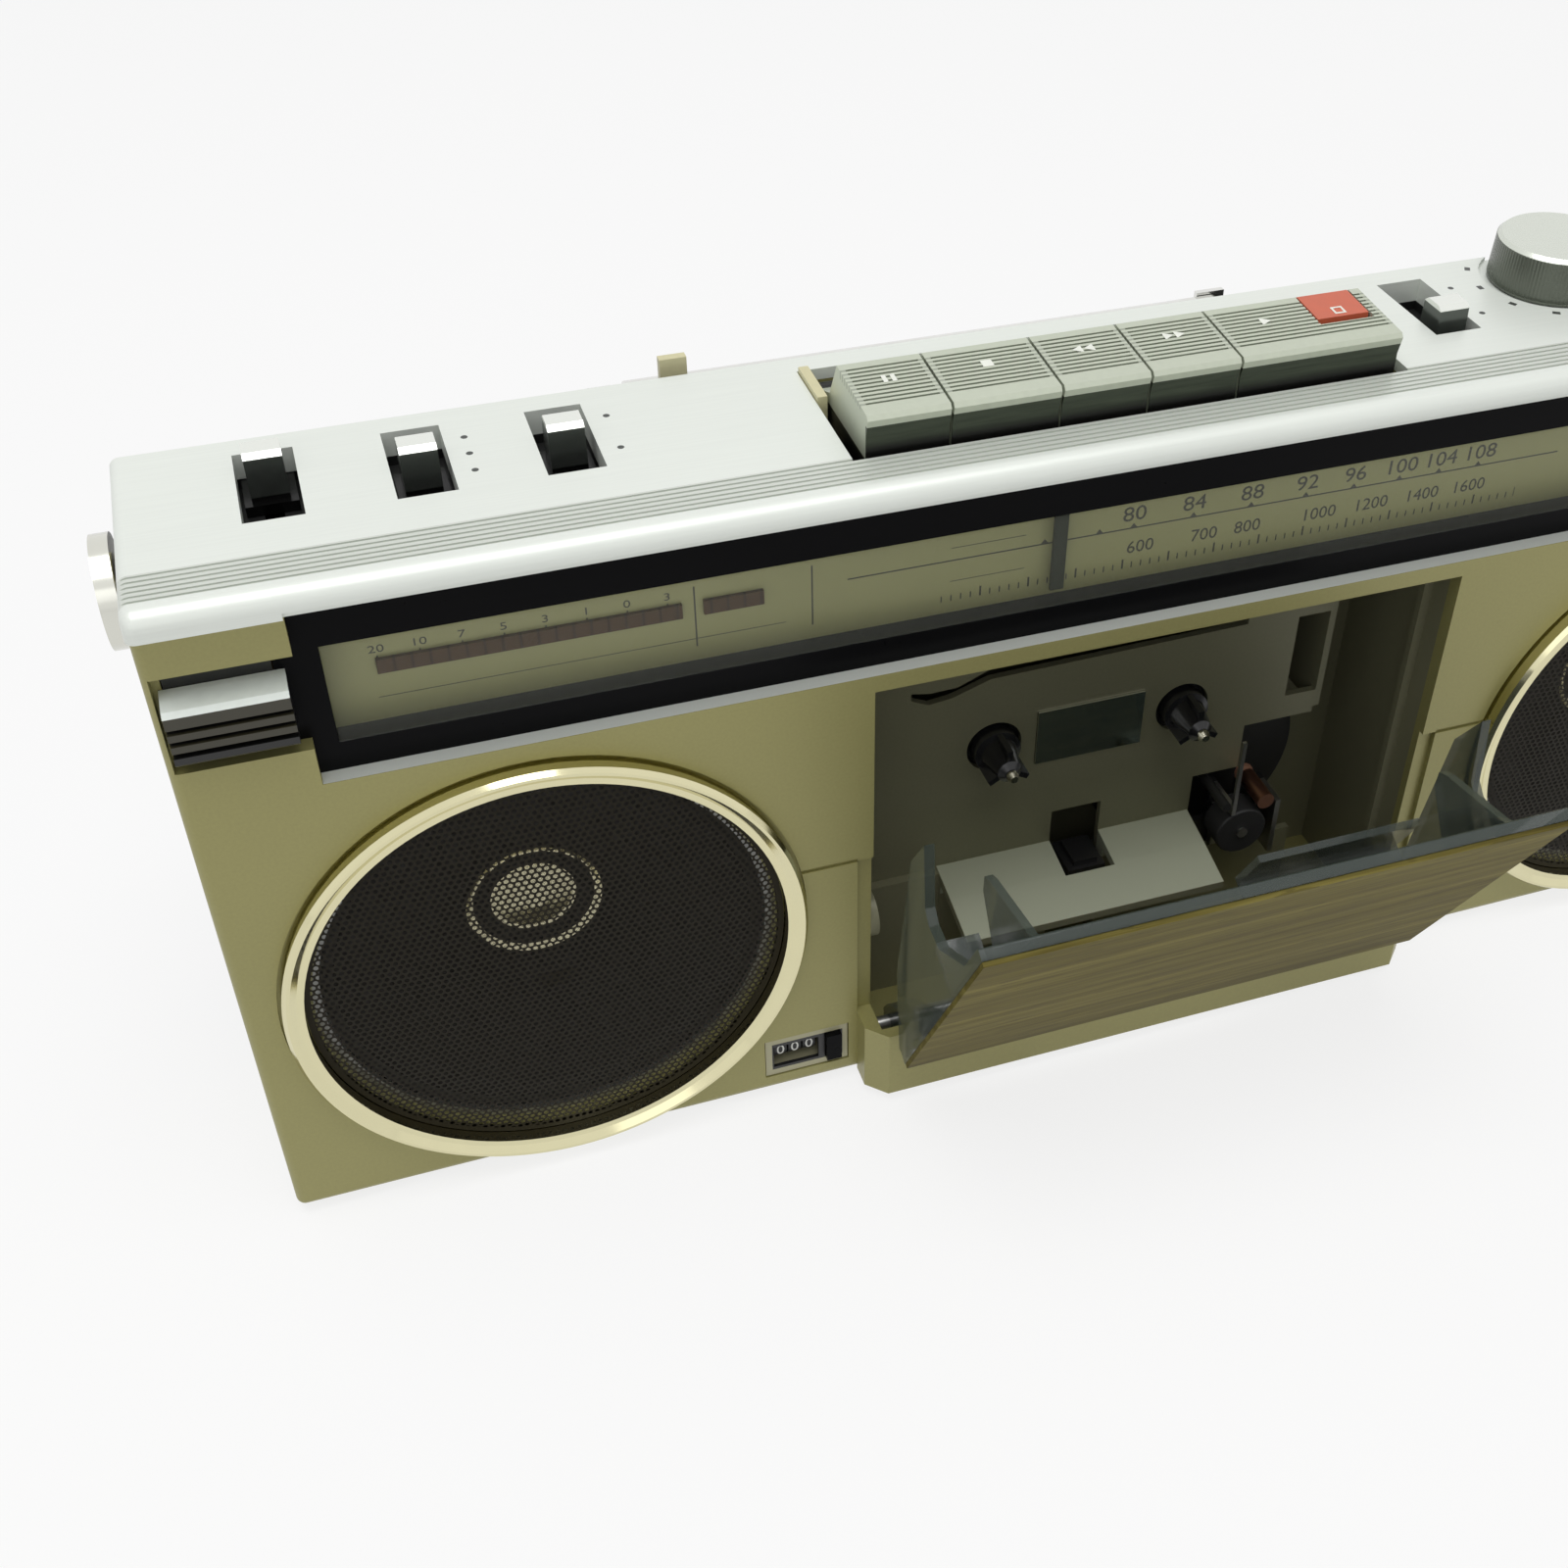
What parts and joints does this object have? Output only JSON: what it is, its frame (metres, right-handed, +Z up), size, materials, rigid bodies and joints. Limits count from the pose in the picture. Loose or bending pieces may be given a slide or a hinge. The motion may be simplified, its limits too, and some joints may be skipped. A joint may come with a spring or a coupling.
{
  "type": "radio cassette player",
  "caption": "Portable stereo radio cassette recorder with open cassette door, piano keys, slide switches, tuning dial, speakers, folding handle and telescopic antenna.",
  "frame": {"origin": "On the ground under the middle of the set, measured from the open door's top edge to the back of the folded grip.", "axes": "+X to the viewer's right along the front, +Y to the back, +Z up. The dial and the speakers face -Y."},
  "size_m": [0.3732, 0.145, 0.1558],
  "materials": {
    "case_silver": "satin champagne silver paint on moulded plastic",
    "top_silver": "bright satin silver plate",
    "rear_case": "fine-textured dark grey moulding",
    "black_gloss": "smooth black moulding",
    "black_satin": "satin black moulding",
    "dial_window": "clear acrylic window",
    "dial_print": "pale olive scale plate with dark print",
    "meter_film": "dark red translucent film",
    "pointer_dark": "dark pointer on its slide",
    "chrome_trim": "bright plated trim",
    "mesh_black": "perforated steel, painted dark",
    "steel_plain": "zinc plated pressing",
    "paper_cone": "pressed paper cone",
    "well_grey": "satin brown-grey moulded liner",
    "deck_satin": "satin finished deck plate",
    "mirror_strip": "polished tape mirror",
    "spindle_black": "black plastic spindle",
    "rubber_black": "black rubber",
    "smoke_door": "smoke tinted clear moulding",
    "wood_film": "printed wood-grain film under clear lacquer",
    "key_metal": "satin plated key caps on black keys",
    "record_red": "orange-red key",
    "cream_plastic": "cream moulding",
    "knob_silver": "bright plated knobs",
    "handle_metal": "plated flat arms",
    "grip_black": "grained black grip",
    "antenna_chrome": "plated brass tube",
    "counter_wheels_black": "number wheels with white figures",
    "board_brown": "paper laminate board",
    "transformer_iron": "laminated core with varnish",
    "motor_steel": "plated motor can",
    "brass_part": "turned brass",
    "screw_black": "blackened steel screws"
  },
  "bodies": {
    "cabinet": {"front_cabinet": "case_silver", "top_panel": "top_silver", "rear_cabinet": "rear_case", "dial_bezel": "black_gloss", "dial_lens": "dial_window", "dial_plate": "dial_print", "level_meter": "meter_film", "mic_grilles": "black_satin", "speaker_ring_left": "chrome_trim", "speaker_ring_right": "chrome_trim", "speaker_grille_left": "mesh_black", "speaker_grille_right": "mesh_black", "speaker_frame_left": "steel_plain", "speaker_frame_right": "steel_plain", "speaker_cone_left": "paper_cone", "speaker_cone_right": "paper_cone", "cassette_well": "well_grey", "deck_plate": "deck_satin", "deck_mirror": "mirror_strip", "deck_motor": "motor_steel", "drive_belt": "rubber_black", "door_shaft": "steel_plain", "key_frame": "cream_plastic", "antenna_clip": "cream_plastic", "counter_frame": "black_satin", "circuit_board": "board_brown", "power_transformer": "transformer_iron", "ac_inlet": "black_satin", "jack_sockets": "black_satin", "case_screws": "screw_black", "feet": "rubber_black"},
    "pointer_body": {"dial_pointer": "pointer_dark"},
    "supply_reel": {"supply_spindle": "spindle_black"},
    "takeup_reel": {"takeup_spindle": "spindle_black"},
    "capstan_body": {"flywheel": "steel_plain"},
    "pulley_body": {"motor_pulley": "brass_part"},
    "carriage_body": {"head_carriage": "steel_plain"},
    "roller_body": {"pinch_roller": "rubber_black"},
    "door": {"cassette_door": "smoke_door", "door_wood_plate": "wood_film"},
    "pause_key": {"key_pause": "key_metal"},
    "stop_key": {"key_stop": "key_metal"},
    "rewind_key": {"key_rewind": "key_metal"},
    "forward_key": {"key_forward": "key_metal"},
    "play_key": {"key_play": "key_metal"},
    "record_key": {"key_record": "record_red"},
    "meter_switch": {"switch_meter": "knob_silver"},
    "mode_switch": {"switch_mode": "knob_silver"},
    "source_switch": {"switch_source": "knob_silver"},
    "band_switch": {"switch_band": "knob_silver"},
    "volume": {"volume_knob": "knob_silver"},
    "tuning": {"tuning_knob": "knob_silver"},
    "handle": {"handle_arms": "handle_metal", "handle_grip": "grip_black"},
    "antenna_base": {"antenna_swivel": "antenna_chrome"},
    "antenna_mast": {"antenna_tube": "antenna_chrome"},
    "antenna_end": {"antenna_tip": "antenna_chrome"},
    "counter_body": {"counter_wheels": "counter_wheels_black"},
    "reset_button": {"counter_reset": "black_gloss"},
    "battery_lid": {"battery_cover": "rear_case"}
  },
  "joints": [
    {"name": "door_hinge", "type": "hinge", "parent": "cabinet", "child": "door", "pos_m": [0, -0.01788, 0.01], "axis": [1, 0, 0], "range_deg": [-29, 0]},
    {"name": "pause_press", "type": "hinge", "parent": "cabinet", "child": "pause_key", "pos_m": [0, 0.01432, 0.143], "axis": [1, 0, 0], "range_deg": [0, 7], "stiffness_Nm_per_rad": 0.5, "springref_deg": -2.86},
    {"name": "stop_press", "type": "hinge", "parent": "cabinet", "child": "stop_key", "pos_m": [0, 0.01432, 0.143], "axis": [1, 0, 0], "range_deg": [0, 7], "stiffness_Nm_per_rad": 0.5, "springref_deg": -2.86},
    {"name": "rewind_press", "type": "hinge", "parent": "cabinet", "child": "rewind_key", "pos_m": [0, 0.01432, 0.143], "axis": [1, 0, 0], "range_deg": [0, 7], "stiffness_Nm_per_rad": 0.5, "springref_deg": -2.86},
    {"name": "forward_press", "type": "hinge", "parent": "cabinet", "child": "forward_key", "pos_m": [0, 0.01432, 0.143], "axis": [1, 0, 0], "range_deg": [0, 7], "stiffness_Nm_per_rad": 0.5, "springref_deg": -2.86},
    {"name": "play_press", "type": "hinge", "parent": "cabinet", "child": "play_key", "pos_m": [0, 0.01432, 0.143], "axis": [1, 0, 0], "range_deg": [0, 7], "stiffness_Nm_per_rad": 0.5, "springref_deg": -2.86},
    {"name": "record_press", "type": "hinge", "parent": "cabinet", "child": "record_key", "pos_m": [0, 0.01432, 0.143], "axis": [1, 0, 0], "range_deg": [0, 7], "stiffness_Nm_per_rad": 0.5, "springref_deg": -2.86},
    {"name": "carriage_rise", "type": "slide", "parent": "cabinet", "child": "carriage_body", "axis": [0, 0, 1], "range_m": [0, 0.0035]},
    {"name": "roller_spin", "type": "hinge", "parent": "carriage_body", "child": "roller_body", "pos_m": [0.0288, -0.00688, 0.034], "axis": [0, 1, 0], "continuous": true},
    {"name": "supply_spin", "type": "hinge", "parent": "cabinet", "child": "supply_reel", "pos_m": [-0.0284, -0.00188, 0.0665], "axis": [0, 1, 0], "continuous": true},
    {"name": "takeup_spin", "type": "hinge", "parent": "cabinet", "child": "takeup_reel", "pos_m": [0.0141, -0.00188, 0.0665], "axis": [0, 1, 0], "continuous": true},
    {"name": "capstan_spin", "type": "hinge", "parent": "cabinet", "child": "capstan_body", "pos_m": [0.0236, 0.00912, 0.043], "axis": [0, 1, 0], "continuous": true},
    {"name": "pulley_spin", "type": "hinge", "parent": "cabinet", "child": "pulley_body", "pos_m": [-0.044, 0.00912, 0.036], "axis": [0, 1, 0], "continuous": true},
    {"name": "meter_slide", "type": "slide", "parent": "cabinet", "child": "meter_switch", "axis": [0, 1, 0], "range_m": [-0.0112, 0]},
    {"name": "mode_slide", "type": "slide", "parent": "cabinet", "child": "mode_switch", "axis": [0, 1, 0], "range_m": [-0.0056, 0.0056]},
    {"name": "source_slide", "type": "slide", "parent": "cabinet", "child": "source_switch", "axis": [0, 1, 0], "range_m": [-0.0056, 0.0056]},
    {"name": "band_slide", "type": "slide", "parent": "cabinet", "child": "band_switch", "axis": [0, 1, 0], "range_m": [0, 0.0112]},
    {"name": "volume_turn", "type": "hinge", "parent": "cabinet", "child": "volume", "pos_m": [0.0908, 0.01022, 0.147], "axis": [0, 0, 1], "range_deg": [-150, 150]},
    {"name": "tuning_turn", "type": "hinge", "parent": "cabinet", "child": "tuning", "pos_m": [0.1805, -0.00388, 0.096], "axis": [1, 0, 0], "range_deg": [0, 900]},
    {"name": "pointer_slide", "type": "slide", "parent": "cabinet", "child": "pointer_body", "axis": [1, 0, 0], "range_m": [0, 0.088]},
    {"name": "handle_swing", "type": "hinge", "parent": "cabinet", "child": "handle", "pos_m": [0, 0.01632, 0.1256], "axis": [1, 0, 0], "range_deg": [0, 145]},
    {"name": "antenna_turn", "type": "hinge", "parent": "cabinet", "child": "antenna_base", "pos_m": [0.028, 0.03112, 0.1392], "axis": [0, 0, 1], "range_deg": [-180, 0]},
    {"name": "antenna_tilt", "type": "hinge", "parent": "antenna_base", "child": "antenna_mast", "pos_m": [0.028, 0.03112, 0.1392], "axis": [0, 1, 0], "range_deg": [0, 90]},
    {"name": "antenna_pull", "type": "slide", "parent": "antenna_mast", "child": "antenna_end", "axis": [-1, 0, 0], "range_m": [0, 0.065]},
    {"name": "counter_spin", "type": "hinge", "parent": "cabinet", "child": "counter_body", "pos_m": [-0.077, -0.01668, 0.0118], "axis": [1, 0, 0], "continuous": true},
    {"name": "reset_press", "type": "slide", "parent": "cabinet", "child": "reset_button", "axis": [0, 1, 0], "range_m": [0, 0.0015], "stiffness_N_per_m": 100, "springref_m": -0.001},
    {"name": "battery_lid_off", "type": "slide", "parent": "cabinet", "child": "battery_lid", "axis": [0, 1, 0], "range_m": [0, 0.025]}
  ],
  "couplings": [
    {"joint": "carriage_rise", "follows": "play_press", "m_per_rad": 0.0286},
    {"joint": "pointer_slide", "follows": "tuning_turn", "m_per_rad": 0.0056},
    {"joint": "pulley_spin", "follows": "capstan_spin", "ratio": 5.3333},
    {"joint": "counter_spin", "follows": "takeup_spin", "ratio": 0.5}
  ]
}
